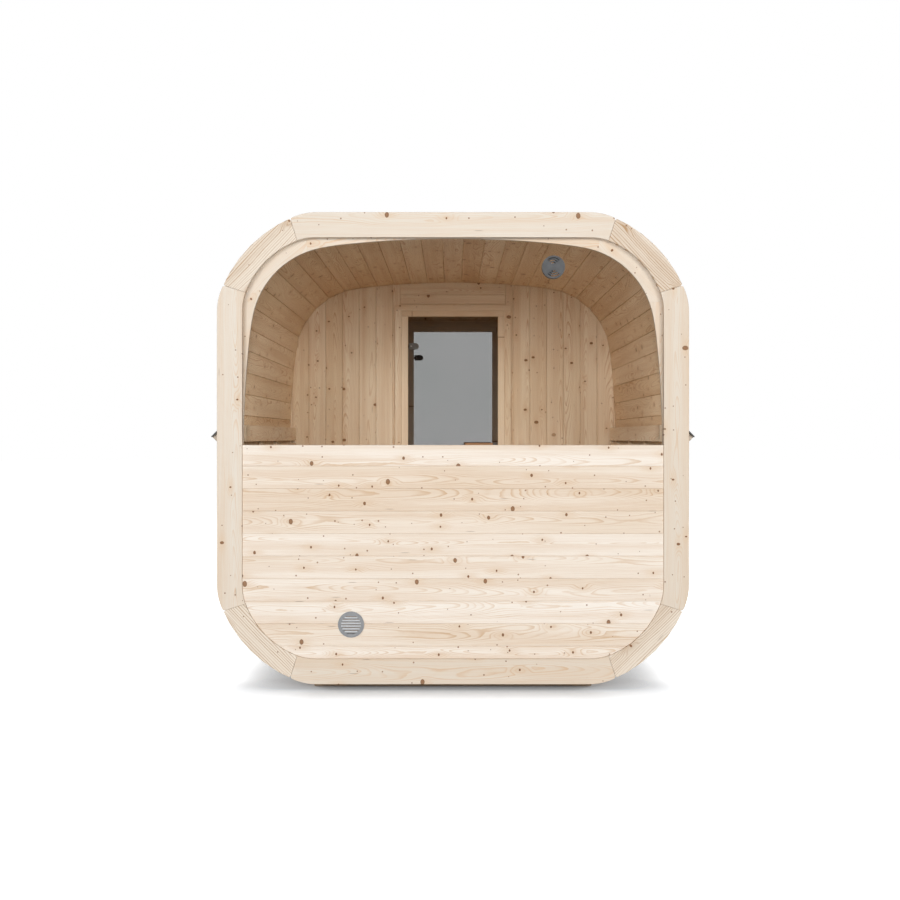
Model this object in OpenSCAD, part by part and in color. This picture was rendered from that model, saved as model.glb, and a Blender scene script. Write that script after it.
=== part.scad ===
// Outdoor sauna cabin of bevelled staves: a rounded square tube with a glazed end and a door end.
// X runs across the cabin, Y along it with the glazed end at -Y, and Z up from the ground.

/* [Staves] */
// Cover width of a stave, on its inner face
stave_w = 110; // [100:1:120]
// Thickness of the staves
stave_t = 42; // [36:1:50]
// Length of the staves
stave_l = 3280; // [3000:10:3600]
// Turn from one stave to the next along the four flatter sides, in degrees
side_turn = 1.25; // [0.5:0.05:1.75]
// Turn where a side passes into its rounded corners, in degrees
shoulder_turn = 4.75; // [3:0.25:7]
// Width of the V groove at each stave joint, on the inside
groove_w = 5; // [2:0.5:8]
// Depth of that groove
groove_d = 2.5; // [1:0.5:4]

/* [End rings and trims] */
// Thickness of the ring plate on each end of the staves
ring_t = 20; // [14:1:28]
// Width of the ring plate that shows inside the staves
ring_lap = 38; // [25:1:50]
// Thickness of the trim boards
trim_t = 40; // [30:1:50]
// Width of the straight trim boards
trim_w = 123; // [110:1:140]
// How far the trims stand out past the staves
trim_overhang = 42.5; // [25:1:60]
// Ground clearance under the trims
trim_clear = 27.5; // [15:1:60]
// Radius at both ends of a trim corner's outer edge
trim_shoulder_r = 290; // [250:5:330]
// Radius at the middle of a trim corner's outer edge
trim_corner_r = 655; // [600:5:700]
// Radius at both ends of a trim corner's inner edge
trim_inner_shoulder_r = 273; // [240:1:300]
// Radius at the middle of a trim corner's inner edge
trim_inner_corner_r = 434; // [400:2:470]
// Distance from a trim's outer line to the joint with the next corner board
corner_reach = 357; // [320:1:400]
// Lean of that joint, in degrees
joint_lean = 18; // [10:0.5:25]
// Width of the notch at the outer end of that joint
notch_w = 12; // [4:1:20]
// Depth of that notch
notch_d = 11; // [3:1:14]

/* [Glazed end] */
// Height of the boarded wall's top above the middle of the cabin
sill_rise = 15; // [-150:1:200]
// Thickness of the boards in front of the ring plate
facing_t = 34; // [24:1:40]
// Thickness of the pane
pane_t = 8; // [6:1:12]
// Gap between the pane's edge and the staves
pane_gap = 3; // [2:0.5:6]
// How far the pane reaches down behind the boards
pane_lap = 30; // [15:1:45]
// Depth of the rail behind the pane's lower edge
rail_t = 40; // [25:1:60]
// Height of that rail
rail_h = 50; // [35:1:80]

/* [Pane vent] */
// Distance of the pane vent from the middle
pane_vent_x = 494; // [400:1:560]
// Distance of the pane vent's middle below the ceiling
pane_vent_drop = 179; // [150:1:260]
// Outer diameter of the pane vent
pane_vent_d = 112; // [100:1:130]
// Depth of the vent's cup in front of the pane
pane_vent_h = 28; // [22:1:36]
// Wall of the cup
vent_wall = 4; // [3:0.5:5]
// Diameter of the hole in the pane
pane_hole_d = 100; // [86:1:102]
// Diameter of the dial's pin
dial_pin_d = 8; // [6:0.5:12]
// Thickness of the dial
dial_t = 3; // [2:0.5:4]
// Distance from the pin to the point that the vent's arc slots are struck from
slot_focus = 9; // [6:0.5:11]
// Middle radius of the smallest arc slot
slot_r = 13; // [11:0.5:15]
// Distance from one arc slot to the next
slot_step = 11.5; // [9:0.5:12]
// Width of an arc slot
slot_open = 5.5; // [3:0.5:7]
// Angle that an arc slot spans
slot_span = 100; // [60:5:120]
// Angle by which the dial covers the slots at rest
dial_turn = 25; // [0:5:40]

/* [Wall vent] */
// Distance of the wall vent from the middle
wall_vent_x = 498; // [350:1:600]
// Height of the wall vent's middle above the floor
wall_vent_rise = 138; // [110:1:700]
// Outer diameter of its grille
grille_d = 127; // [118:1:150]
// Thickness of the grille's flange
grille_t = 5; // [3:0.5:6]
// Diameter of the duct hole through the wall
duct_d = 100; // [80:1:104]
// Wall of the grille's spigot
spigot_wall = 2; // [1.5:0.5:4]
// Number of louvre slots
slot_count = 7; // [5:1:7]
// Distance from one louvre slot to the next
slot_pitch = 13.6; // [10:0.2:14]
// Height of a louvre slot
slot_h = 6; // [3:0.5:8]

/* [Partition and doors] */
// Thickness of the partition and of the door-end wall
wall_t = 42; // [32:1:50]
// Distance from the middle of the cabin to the partition
partition_y = 400; // [200:5:600]
// Clear width of a doorway
doorway_w = 590; // [550:5:650]
// Height of the wall between a door frame and the ceiling
over_door_h = 173; // [140:1:260]
// Height of a door's threshold above the floor
threshold_h = 50; // [30:1:70]
// Width of the door frame's jambs and head
frame_w = 50; // [40:1:60]
// How far the frame stands out behind its wall
frame_back = 15; // [15:1:20]
// Width of the stop that the leaf closes against
stop_w = 13; // [10:1:16]
// Gap round the leaf and between leaf and stop
leaf_gap = 5.5; // [5:0.5:7]
// Thickness of the glass leaf
leaf_t = 8; // [6:1:10]
// Distance from the leaf to the hinge pin
pin_off = 10; // [9:0.5:12]
// Width of the casing past the frame
casing_w = 35; // [25:1:45]
// Height of the casing past the frame's head
head_casing_h = 22; // [16:1:35]
// Thickness of the casing
casing_t = 15; // [10:1:20]
// How far the casing laps over the front of the jambs
jamb_lap = 8; // [4:1:12]
// How far the casing laps over the front of the head
head_lap = 14; // [6:1:18]

/* [Door fittings] */
// Height of a hinge
hinge_h = 41; // [32:1:50]
// Distance from the leaf's upper and lower edge to the middle of its hinges
hinge_inset = 200; // [120:1:300]
// Width of a hinge clamp on the glass
clamp_w = 64; // [50:1:80]
// Thickness of the hinge plates
plate_t = 6; // [4:0.5:8]
// Diameter of a hinge barrel
barrel_d = 14; // [12:0.5:16]
// Diameter of a hinge pin
pin_d = 8; // [5:0.5:9]
// Length of a handle bar
handle_l = 181; // [140:1:220]
// Distance from a handle bar to the leaf's free edge
handle_end = 40; // [34:1:60]
// Height of a handle bar
handle_h = 42; // [30:1:55]
// Thickness of a handle bar
handle_t = 14; // [10:1:18]
// Distance from the glass to a handle bar
handle_gap = 30; // [24:1:31]
// Height of the handles' top edge above the floor
handle_rise = 1015; // [900:1:1100]
// Diameter of the handles' stand-offs
standoff_d = 18; // [12:1:24]

/* [Floor, base and backrests] */
// Height of the floor above the inner face of the floor staves
floor_rise = 69; // [55:1:90]
// Thickness of the floor boards
floor_t = 28; // [20:1:32]
// Width of the floor joists
joist_w = 45; // [35:1:60]
// Largest distance between floor joists
joist_pitch = 520; // [400:10:600]
// Half length of the cradle beams
cradle_half = 688; // [600:1:700]
// Thickness of the cradle beams
cradle_t = 70; // [45:1:100]
// Distance from the staves' ends to the outer cradle beams
cradle_inset = 45; // [20:1:200]
// Height of the cradle beams at their ends
cradle_h = 122; // [110:1:128]
// Height of a backrest board
back_h = 82; // [60:1:100]
// Thickness of the backrest boards
back_t = 28; // [20:1:35]
// Gap between the two backrest boards
back_gap = 18; // [8:1:30]
// Height of the backrests' upper edge above the middle of the cabin
back_rise = 114; // [60:1:150]
// Thickness of the battens behind the backrests
batten_t = 14; // [10:1:24]
// Width of those battens
batten_w = 60; // [40:1:80]

/* [Roof] */
// Thickness of the roofing sheet
membrane_t = 5; // [3:0.5:8]
// Height above the body's middle at which the eaves boards' upper corner meets the staves
eaves_rise = 128; // [90:1:200]
// Width of the eaves boards' sloping face
eaves_w = 106; // [80:1:125]
// Thickness of the eaves boards
eaves_t = 42; // [30:1:50]

/* [Hidden] */

// Clearance between pieces that are fitted to each other
fit = 0.4;
// Clearance round a pin
pin_fit = 0.3;
// Clearance between moving pieces that pass each other
swing_gap = 6;
// Overrun of a cutting solid past the face that it cuts
over = 1;

// Staves, counted upwards from the one on the middle of a side to the one on top
small_turns = 5;
flat_last = 6;
corner_last = 10;
top_stave = 17;
corner_turn = (45 - small_turns * side_turn - shoulder_turn) / 2.5;
function lean(k) =
  k <= small_turns ? k * side_turn
  : k <= (top_stave - 1) / 2
    ? small_turns * side_turn + shoulder_turn + (k - flat_last) * corner_turn
    : 90 - lean(top_stave - k);
function outward(k) = [cos(lean(k)), sin(lean(k))];
function bisector(j) = (outward(j) + outward(j + 1)) / (1 + outward(j) * outward(j + 1));
function climb(j) = j == 0 ? 1 / 2 : climb(j - 1) + cos(lean(j));
function lean_in(j) = j == 0 ? 0 : lean_in(j - 1) + sin(lean(j));
half_in = stave_w * (1 / 2 + lean_in(top_stave - 1));
half_out = half_in + stave_t;
// Joint above stave j, moved outwards from the inner face by d
function joint(j, d) =
  [half_in - stave_w * lean_in(j), stave_w * climb(j)] + d * bisector(j);
function mirrored(p) = [p[0], -p[1]];
// Closed outline of the staves' inner face, moved outwards by d
function quarter(d) = [for (j = [0:top_stave - 1]) joint(j, d)];
function back_order(list) = [for (i = [len(list) - 1:-1:0]) list[i]];
function outline(d) = concat(
  quarter(d),
  back_order([for (p = quarter(d)) [-p[0], p[1]]]),
  [for (p = quarter(d)) -p],
  back_order([for (p = quarter(d)) [p[0], -p[1]]]));
// The same outline as one smooth curve through the middle of each straight
curve_steps = 3;
function smooth_outline(d) =
  let (list = outline(d), n = len(list))
  [for (i = [0:n - 1])
    let (p = list[i], from = (list[(i + n - 1) % n] + p) / 2, to = (p + list[(i + 1) % n]) / 2)
    for (step = [0:curve_steps - 1])
      let (t = step / curve_steps) pow(1 - t, 2) * from + 2 * t * (1 - t) * p + t * t * to];

// Trim outlines: a square with corners of three arcs
arc_steps = 6;
turn_a = 22.5;
turn_b = 67.5;
function leg(r1, r2) =
  r1 * sin(turn_a) + r2 * (sin(turn_b) - sin(turn_a)) + r1 * (1 - sin(turn_b));
function arc(centre, r, from, to) =
  [for (i = [0:arc_steps - 1])
    let (a = from + (to - from) * i / arc_steps) centre + r * [cos(a), sin(a)]];
function corner(h, r1, r2) =
  let (c1 = [h - r1, h - leg(r1, r2)])
  let (c2 = c1 - (r2 - r1) * [cos(turn_a), sin(turn_a)])
  let (c3 = [c1[1], c1[0]])
  concat(arc(c1, r1, 0, turn_a), arc(c2, r2, turn_a, turn_b), arc(c3, r1, turn_b, 90),
    [c3 + [0, r1]]);
function turned(list, a) =
  [for (p = list) [p[0] * cos(a) - p[1] * sin(a), p[0] * sin(a) + p[1] * cos(a)]];
function soft_square(h, r1, r2) =
  [for (a = [0:90:270]) each turned(corner(h, r1, r2), a)];
trim_half = half_out + trim_overhang;
trim_in = trim_half - trim_w;
joint_x = trim_half - corner_reach;
// Height of the trim's outer edge above the middle, at distance x from it
function trim_edge(x) =
  let (c1 = [trim_half - leg(trim_shoulder_r, trim_corner_r), trim_half - trim_shoulder_r])
  let (c2 = c1 - (trim_corner_r - trim_shoulder_r) * [sin(turn_a), cos(turn_a)])
  x < c1[0] ? trim_half
  : x < c1[0] + trim_shoulder_r * sin(turn_a)
    ? c1[1] + sqrt(pow(trim_shoulder_r, 2) - pow(x - c1[0], 2))
    : c2[1] + sqrt(pow(trim_corner_r, 2) - pow(x - c2[0], 2));

// Heights and places along the cabin
body_z = trim_clear + trim_half;
stave_end = stave_l / 2;
ring_face = stave_end + ring_t;
trim_face = ring_face + trim_t;
floor_z = body_z - half_in + floor_rise;
sill_z = body_z + sill_rise;
pane_vent_z = body_z + half_in - pane_vent_drop;
wall_vent_z = floor_z + wall_vent_rise;
wall_front = -ring_face - facing_t;
pane_back = -stave_end + pane_t;
rail_back = pane_back + rail_t;
entrance_y = stave_end - wall_t;

// Doorways
clear_half = doorway_w / 2;
frame_half = clear_half + frame_w;
clear_z0 = floor_z + threshold_h;
frame_top = body_z + half_in - over_door_h;
clear_z1 = frame_top - frame_w;
rebate_half = clear_half + stop_w;
leaf_half = rebate_half - leaf_gap;
leaf_z0 = clear_z0 - stop_w + leaf_gap;
leaf_z1 = clear_z1 + stop_w - leaf_gap;
// Faces of the frame, the leaf and the hinge pin, from the front of their wall
frame_rear = wall_t + frame_back;
leaf_rear = frame_rear;
leaf_front = leaf_rear - leaf_t;
stop_rear = leaf_front - leaf_gap;
pin_y = leaf_rear + pin_off;
clamp_x = -clear_half + swing_gap;
handle_x1 = leaf_half - handle_end;
handle_z = floor_z + handle_rise;
knuckle_h = hinge_h / 2;
knuckle_gap = 1;

WOOD = "burlywood";
DARK_WOOD = "peru";
METAL = "dimgray";
ROOFING = "darkslategray";

// An extrusion along Y of a section drawn round the body's middle
module along(y0, y1) {
  translate([0, y1, body_z]) rotate([90, 0, 0]) linear_extrude(y1 - y0) children();
}

module box(x0, x1, y0, y1, z0, z1) {
  translate([x0, y0, z0]) cube([x1 - x0, y1 - y0, z1 - z0]);
}

// A round bar along Y
module round_y(x, z, d, y0, y1) {
  translate([x, y1, z]) rotate([90, 0, 0]) cylinder(d = d, h = y1 - y0, $fn = 64);
}

// A solid whose profile, radius and distance forwards, is turned round an axis along Y
module turned_y(x, y, z) {
  translate([x, y, z]) rotate([90, 0, 0]) rotate_extrude($fn = 96) children();
}

module at_other_end() {
  mirror([0, 1, 0]) children();
}

// Staves

// Direction of stave k's inner face, upwards
function upward(k) = [-sin(lean(k)), cos(lean(k))];
// Lips and bottom of the groove above stave j
function lip_below(j) = joint(j, 0) - groove_w / 2 * upward(j);
function lip_above(j) = joint(j, 0) + groove_w / 2 * upward(j + 1);
function groove(j) = [lip_below(j), joint(j, groove_d), lip_above(j)];

module side_section() {
  inner = concat([for (j = [0:flat_last - 1]) each groove(j)],
    [lip_below(flat_last), joint(flat_last, groove_d)]);
  outer = [for (j = [0:flat_last]) joint(j, stave_t)];
  polygon(concat(back_order([for (p = inner) mirrored(p)]), inner, back_order(outer),
    [for (p = outer) mirrored(p)]));
}

module corner_section() {
  polygon(concat([joint(flat_last, groove_d), lip_above(flat_last)],
    [for (j = [flat_last + 1:corner_last - 1]) each groove(j)],
    [lip_below(corner_last), joint(corner_last, groove_d)],
    [for (j = [corner_last:-1:flat_last]) joint(j, stave_t)]));
}

module side_staves(turn) {
  color(WOOD) along(-stave_end, stave_end) rotate(turn) side_section();
}

module corner_staves(turn) {
  color(WOOD) along(-stave_end, stave_end) rotate(turn) corner_section();
}

// Inside of the stave tube, less a clearance, for what is fitted into it
module tube_inside(y0, y1, clearance) {
  along(y0, y1) polygon(outline(-clearance));
}

// End rings and trims

module end_ring() {
  color(WOOD) along(stave_end, ring_face) difference() {
    polygon(outline(stave_t));
    polygon(smooth_outline(-ring_lap));
  }
}

module trim_band() {
  difference() {
    polygon(soft_square(trim_half, trim_shoulder_r, trim_corner_r));
    polygon(soft_square(trim_in, trim_inner_shoulder_r, trim_inner_corner_r));
    for (turn = [0:90:270]) rotate(turn) corner_notches();
  }
}

// The notches at the outer ends of a corner board's two joints
module corner_notches() {
  for (side = [0, 1]) mirror([side, -side]) translate([joint_x, trim_edge(joint_x)])
    rotate(-joint_lean) polygon([[-notch_w, notch_d], [notch_w, notch_d], [0, -notch_d]]);
}

// The region of a corner board, widened at both joints by a gap
module corner_region(gap) {
  lean_dir = [sin(joint_lean), cos(joint_lean)];
  top = [joint_x - gap, trim_edge(joint_x)];
  above = top + trim_w * lean_dir;
  below = top - 2 * trim_w * lean_dir;
  far = above[1] + trim_w;
  polygon([above, below, [below[1], below[0]], [above[1], above[0]], [far, far]]);
}

module corner_trims() {
  color(WOOD) along(ring_face, trim_face) intersection() {
    trim_band();
    for (turn = [0:90:270]) rotate(turn) corner_region(0);
  }
}

module trim_boards() {
  color(WOOD) along(ring_face, trim_face) difference() {
    trim_band();
    for (turn = [0:90:270]) rotate(turn) corner_region(2 * fit);
  }
}

// Glazed end

module below_sill() {
  translate([-trim_half, -trim_half]) square([2 * trim_half, trim_half + sill_z - body_z]);
}

module inside_trims() {
  polygon(soft_square(trim_in - fit, trim_inner_shoulder_r - fit, trim_inner_corner_r - fit));
}

module inside_ring() {
  polygon(smooth_outline(-ring_lap - fit));
}

// The wall fills the trims in front and the ring plate behind, and is one solid across both
module window_end_wall() {
  color(WOOD) difference() {
    union() {
      along(wall_front, -ring_face) intersection() {
        inside_trims();
        below_sill();
      }
      along(-ring_face, -stave_end) intersection() {
        inside_ring();
        below_sill();
      }
      along(-ring_face - over, -ring_face + over) intersection() {
        inside_trims();
        inside_ring();
        below_sill();
      }
    }
    round_y(-wall_vent_x, wall_vent_z, duct_d, wall_front - over, -stave_end + over);
  }
}

module window_pane() {
  color("lightcyan", 0.3) difference() {
    intersection() {
      tube_inside(-stave_end, pane_back, pane_gap);
      box(-half_in, half_in, -stave_end, pane_back, sill_z - pane_lap, body_z + half_in);
    }
    round_y(pane_vent_x, pane_vent_z, pane_hole_d, -stave_end - over, pane_back + over);
  }
}

module window_rail() {
  color(WOOD) intersection() {
    tube_inside(pane_back, rail_back, fit);
    box(-half_in, half_in, pane_back, rail_back, sill_z - rail_h, sill_z);
  }
}

// Vents

vent_r = pane_vent_d / 2;
cup_r = vent_r - vent_wall;

// Arc slots above and below the pin, in a plate of the pane vent
module arc_slots(turn) {
  for (side = [0, 180], i = [0:2])
    rotate(side + turn) translate([0, slot_focus, 0]) rotate(90 - slot_span / 2)
      rotate_extrude(angle = slot_span, $fn = 96)
        translate([slot_r + i * slot_step - slot_open / 2, -over])
          square([slot_open, pane_vent_h]);
}

neck_r = pane_hole_d / 2 - fit;
neck_in = neck_r - vent_wall;
module pane_vent_cover() {
  color(METAL) {
    difference() {
      turned_y(pane_vent_x, -stave_end, pane_vent_z) {
        difference() {
          translate([0, -pane_t - vent_wall])
            square([vent_r, pane_vent_h + pane_t + vent_wall]);
          translate([-over, vent_wall]) square([cup_r + over, pane_vent_h - 2 * vent_wall]);
          translate([-over, -pane_t - vent_wall - over])
            square([neck_in + over, pane_t + 2 * vent_wall + 2 * over]);
          translate([neck_r, -pane_t]) square([vent_r, pane_t]);
        }
      }
      translate([pane_vent_x, -stave_end - pane_vent_h + vent_wall, pane_vent_z])
        rotate([90, 0, 0]) arc_slots(0);
    }
    round_y(pane_vent_x, pane_vent_z, dial_pin_d, -stave_end - pane_vent_h + vent_wall / 2,
      dial_y + dial_t + over);
  }
}

// The dial lies behind the cup's face, between it and the flange on the pane
dial_y = -stave_end - pane_vent_h + vent_wall + over;
module pane_vent_dial() {
  color("gray") translate([pane_vent_x, dial_y + dial_t, pane_vent_z]) rotate([90, 0, 0])
    difference() {
      cylinder(r = cup_r - 2 * over, h = dial_t, $fn = 96);
      translate([0, 0, -over]) cylinder(d = dial_pin_d + 2 * pin_fit, h = dial_t + 2 * over,
        $fn = 48);
      arc_slots(dial_turn);
    }
}

slot_tilt = 35;
module wall_vent_grille() {
  grille_r = grille_d / 2;
  bore_r = duct_d / 2 - fit - spigot_wall;
  color("silver") difference() {
    turned_y(-wall_vent_x, wall_front, wall_vent_z) {
      square([grille_r, grille_t]);
      translate([bore_r, -facing_t]) square([spigot_wall, facing_t + over]);
    }
    intersection() {
      round_y(-wall_vent_x, wall_vent_z, 2 * bore_r, wall_front - 2 * grille_t,
        wall_front + over);
      for (i = [0:slot_count - 1])
        translate([-wall_vent_x, wall_front,
            wall_vent_z + (i - (slot_count - 1) / 2) * slot_pitch]) rotate([slot_tilt, 0, 0])
            cube([grille_d, 4 * grille_t, slot_h * cos(slot_tilt)], center = true);
    }
  }
}

// Partition and door-end wall

module wall_part(y, x0, x1, z0, z1) {
  color(WOOD) intersection() {
    tube_inside(y, y + wall_t, fit);
    box(x0, x1, y - over, y + wall_t + over, z0, z1);
  }
}

module wall_left(y) {
  wall_part(y, -half_out, -frame_half - fit, 0, body_z + half_out);
}

module wall_right(y) {
  wall_part(y, frame_half + fit, half_out, 0, body_z + half_out);
}

module wall_over_door(y) {
  wall_part(y, -frame_half, frame_half, frame_top + fit, body_z + half_out);
}

// Door frame: two jambs, a head and a threshold that stands on the floor staves
module door_frame(y) {
  color(WOOD) {
    for (side = [0, 1]) mirror([side, 0, 0]) difference() {
      box(clear_half, frame_half, y, y + frame_rear, clear_z0 + fit, clear_z1 - fit);
      box(clear_half - over, rebate_half, y + stop_rear, y + frame_rear + over, 0, frame_top);
    }
    difference() {
      box(-frame_half, frame_half, y, y + frame_rear, clear_z1, frame_top);
      box(-rebate_half, rebate_half, y + stop_rear, y + frame_rear + over, 0,
        clear_z1 + stop_w);
    }
    difference() {
      union() {
        intersection() {
          tube_inside(y, y + wall_t, fit);
          box(-frame_half, frame_half, y, y + wall_t, 0, clear_z0);
        }
        box(-frame_half, frame_half, y, y + frame_rear, floor_z, clear_z0);
      }
      box(-rebate_half, rebate_half, y + stop_rear, y + frame_rear + over,
        clear_z0 - stop_w, frame_top);
    }
  }
}

// Casing on one face of a wall, with its inner edges at half width x0 and height z0
module casing_face(x0, z0, y0, y1) {
  x1 = frame_half + casing_w;
  difference() {
    box(-x1, x1, y0, y1, floor_z, frame_top + head_casing_h);
    box(-x0, x0, y0 - over, y1 + over, 0, z0);
  }
}

module door_casing(y) {
  color(WOOD) {
    casing_face(frame_half - jamb_lap, frame_top - head_lap, y - casing_t, y);
    casing_face(frame_half + fit, frame_top + fit, y + wall_t, y + wall_t + casing_t);
  }
}

module door_glass(y) {
  color("gray", 0.5)
    box(-leaf_half, leaf_half, y + leaf_front, y + leaf_rear, leaf_z0, leaf_z1);
}

module at_hinges(y) {
  for (z = [leaf_z0 + hinge_inset, leaf_z1 - hinge_inset]) translate([-leaf_half, y + pin_y, z]) children();
}

// Fixed half of each hinge: a plate on the jamb, two knuckles and the pin
module hinge_plates(y) {
  plate_x0 = -(frame_half - leaf_half);
  plate_x1 = -barrel_d / 2 - knuckle_gap;
  color(METAL) at_hinges(y) {
    box(plate_x0, plate_x1, -pin_off, -pin_off + plate_t, -hinge_h / 2, hinge_h / 2);
    for (side = [0, 1]) mirror([0, 0, side]) {
      translate([0, 0, knuckle_h / 2])
        cylinder(d = barrel_d, h = (hinge_h - knuckle_h) / 2, $fn = 48);
      box(plate_x1 - over, 0, -plate_t / 2, 0, knuckle_h / 2, hinge_h / 2);
      box(plate_x1 - plate_t, plate_x1, -pin_off + over, 0, knuckle_h / 2, hinge_h / 2);
    }
    cylinder(d = pin_d, h = hinge_h - over, $fn = 48, center = true);
  }
}

// Moving half of each hinge: a knuckle and two plates that clamp the glass, and the catch
module clamps(y) {
  x0 = clamp_x + leaf_half;
  color(METAL) {
    at_hinges(y) {
      difference() {
        union() {
          clamp_plate(x0, -pin_off);
          cylinder(d = barrel_d, h = knuckle_h - 2 * knuckle_gap, $fn = 48, center = true);
          box(0, x0 + plate_t, -pin_off + over, -pin_off + plate_t,
            -knuckle_h / 2 + knuckle_gap, knuckle_h / 2 - knuckle_gap);
        }
        cylinder(d = pin_d + 2 * pin_fit, h = hinge_h, $fn = 48, center = true);
      }
      clamp_plate(x0, -pin_off - leaf_t - plate_t);
    }
    box(handle_x1 + over, clear_half - swing_gap - over, y + leaf_front - plate_t,
      y + leaf_front, handle_z - handle_h, handle_z);
  }
}

// A clamp plate with one round end
module clamp_plate(x0, y0) {
  translate([0, y0 + plate_t, 0]) rotate([90, 0, 0]) linear_extrude(plate_t) union() {
    translate([x0, -hinge_h / 2]) square([clamp_w - hinge_h / 2, hinge_h]);
    translate([x0 + clamp_w - hinge_h / 2, 0]) circle(d = hinge_h, $fn = 64);
  }
}

// A handle bar on each side of the glass, on two stand-offs each
module handles(y) {
  x0 = handle_x1 - handle_l;
  bar_z = handle_z - handle_h / 2;
  color(DARK_WOOD) for (face = [0, 1])
    translate([0, y + (leaf_front + leaf_rear) / 2, 0]) mirror([0, face, 0]) {
      bar_y = leaf_t / 2 + handle_gap;
      box(x0, handle_x1, bar_y, bar_y + handle_t, handle_z - handle_h, handle_z);
      for (x = [x0 + handle_h, handle_x1 - handle_h])
        round_y(x, bar_z, standoff_d, leaf_t / 2, bar_y + over);
    }
}

// Floor, base and backrests

sauna_y0 = -stave_end + fit;
sauna_y1 = partition_y - fit;
changing_y0 = partition_y + wall_t + fit;
changing_y1 = entrance_y - fit;

module floor_slab(y0, y1) {
  intersection() {
    tube_inside(y0, y1, 2 * over);
    box(-half_in, half_in, y0, y1, floor_z - floor_t, floor_z);
  }
}

module room_floors() {
  color(WOOD) {
    floor_slab(sauna_y0, sauna_y1);
    floor_slab(changing_y0, changing_y1);
  }
}

module room_joists(y0, y1) {
  count = ceil((y1 - y0) / joist_pitch);
  step = (y1 - y0 - joist_w) / count;
  intersection() {
    tube_inside(y0, y1, fit);
    for (i = [0:count])
      box(-half_in, half_in, y0 + i * step, y0 + i * step + joist_w, 0, floor_z - floor_t);
  }
}

module floor_joists() {
  color(WOOD) {
    room_joists(sauna_y0, sauna_y1);
    room_joists(changing_y0, changing_y1);
  }
}

module base_beams() {
  outer_y = stave_end - cradle_inset - cradle_t / 2;
  color("saddlebrown") difference() {
    for (y = [-outer_y, 0, outer_y])
      box(-cradle_half, cradle_half, y - cradle_t / 2, y + cradle_t / 2, 0, cradle_h);
    along(-stave_end, stave_end) polygon(outline(stave_t + fit));
  }
}

back_x1 = half_in - batten_t;
back_x0 = back_x1 - back_t;
back_y0 = rail_back + over;
back_y1 = partition_y - casing_t - over;
back_z = body_z + back_rise;
back_z0 = back_z - 2 * back_h - back_gap;
batten_count = 4;
module backrests() {
  pitch = (back_y1 - back_y0 - 3 * batten_w) / (batten_count - 1);
  color(WOOD) for (side = [0, 1]) mirror([side, 0, 0]) {
    for (z = [back_z0, back_z - back_h]) box(back_x0, back_x1, back_y0, back_y1, z, z + back_h);
    intersection() {
      tube_inside(back_y0, back_y1, fit);
      for (i = [0:batten_count - 1]) translate([0, back_y0 + batten_w + i * pitch, 0])
        box(back_x1 - over, half_in, 0, batten_w, back_z0, back_z);
    }
  }
}

// Roof

slope = 45;
eaves_top = [half_out, eaves_rise];
eaves_down = [cos(slope), -sin(slope)];
eaves_out = [sin(slope), cos(slope)];

// Section of a strip on the slope, between two distances from the boards' upper face
function slope_strip(d0, d1) =
  let (start = eaves_top - eaves_w / 2 * eaves_down, end = eaves_top + eaves_w * eaves_down)
  [start + d0 * eaves_out, end + d0 * eaves_out, end + d1 * eaves_out, start + d1 * eaves_out];
// The same strip on the left slope
function left_strip(d0, d1) = back_order([for (p = slope_strip(d0, d1)) [-p[0], p[1]]]);

module eaves_board() {
  color(WOOD) along(-stave_end, stave_end) difference() {
    polygon(slope_strip(-eaves_t, 0));
    polygon(outline(stave_t + fit));
  }
}

// Roofing sheet, from the lower edge of one eaves board over the roof to the other's
module roof_membrane() {
  color(ROOFING) along(-ring_face, ring_face) difference() {
    union() {
      intersection() {
        polygon(outline(stave_t + fit + membrane_t));
        translate([-half_out - eaves_w, eaves_rise - eaves_t / 2])
          square([2 * (half_out + eaves_w), half_out]);
      }
      polygon(slope_strip(fit, fit + membrane_t));
      polygon(left_strip(fit, fit + membrane_t));
    }
    polygon(outline(stave_t + fit));
    polygon(slope_strip(-eaves_t, fit));
    polygon(left_strip(-eaves_t, fit));
  }
}

base_beams();
floor_joists();
room_floors();
side_staves(270);  // floor_staves
side_staves(180);  // left_wall_staves
side_staves(0);  // right_wall_staves
side_staves(90);  // roof_staves
corner_staves(90);  // upper_left_corner_staves
corner_staves(0);  // upper_right_corner_staves
corner_staves(180);  // lower_left_corner_staves
corner_staves(270);  // lower_right_corner_staves
roof_membrane();
mirror([1, 0, 0]) eaves_board();  // left_eaves_board
eaves_board();  // right_eaves_board
at_other_end() trim_boards();  // window_end_trim_boards
at_other_end() corner_trims();  // window_end_corner_trims
trim_boards();  // door_end_trim_boards
corner_trims();  // door_end_corner_trims
at_other_end() end_ring();  // window_ring
end_ring();  // door_end_ring
window_end_wall();
window_rail();
window_pane();
pane_vent_cover();
pane_vent_dial();
wall_vent_grille();
backrests();
wall_left(partition_y);  // partition_left
wall_right(partition_y);  // partition_right
wall_over_door(partition_y);  // partition_over_door
wall_left(entrance_y);  // door_end_wall_left
wall_right(entrance_y);  // door_end_wall_right
wall_over_door(entrance_y);  // door_end_wall_over_door
door_frame(partition_y);  // partition_door_frame
door_casing(partition_y);  // partition_door_casing
door_glass(partition_y);  // partition_door_glass
hinge_plates(partition_y);  // partition_door_hinge_plates
clamps(partition_y);  // partition_door_clamps
handles(partition_y);  // partition_door_handles
door_frame(entrance_y);  // entrance_door_frame
door_casing(entrance_y);  // entrance_door_casing
door_glass(entrance_y);  // entrance_door_glass
hinge_plates(entrance_y);  // entrance_door_hinge_plates
clamps(entrance_y);  // entrance_door_clamps
handles(entrance_y);  // entrance_door_handles
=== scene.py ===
"""Looks of the outdoor stave sauna cabin: boards, glass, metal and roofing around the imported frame."""
import math
import random

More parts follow.
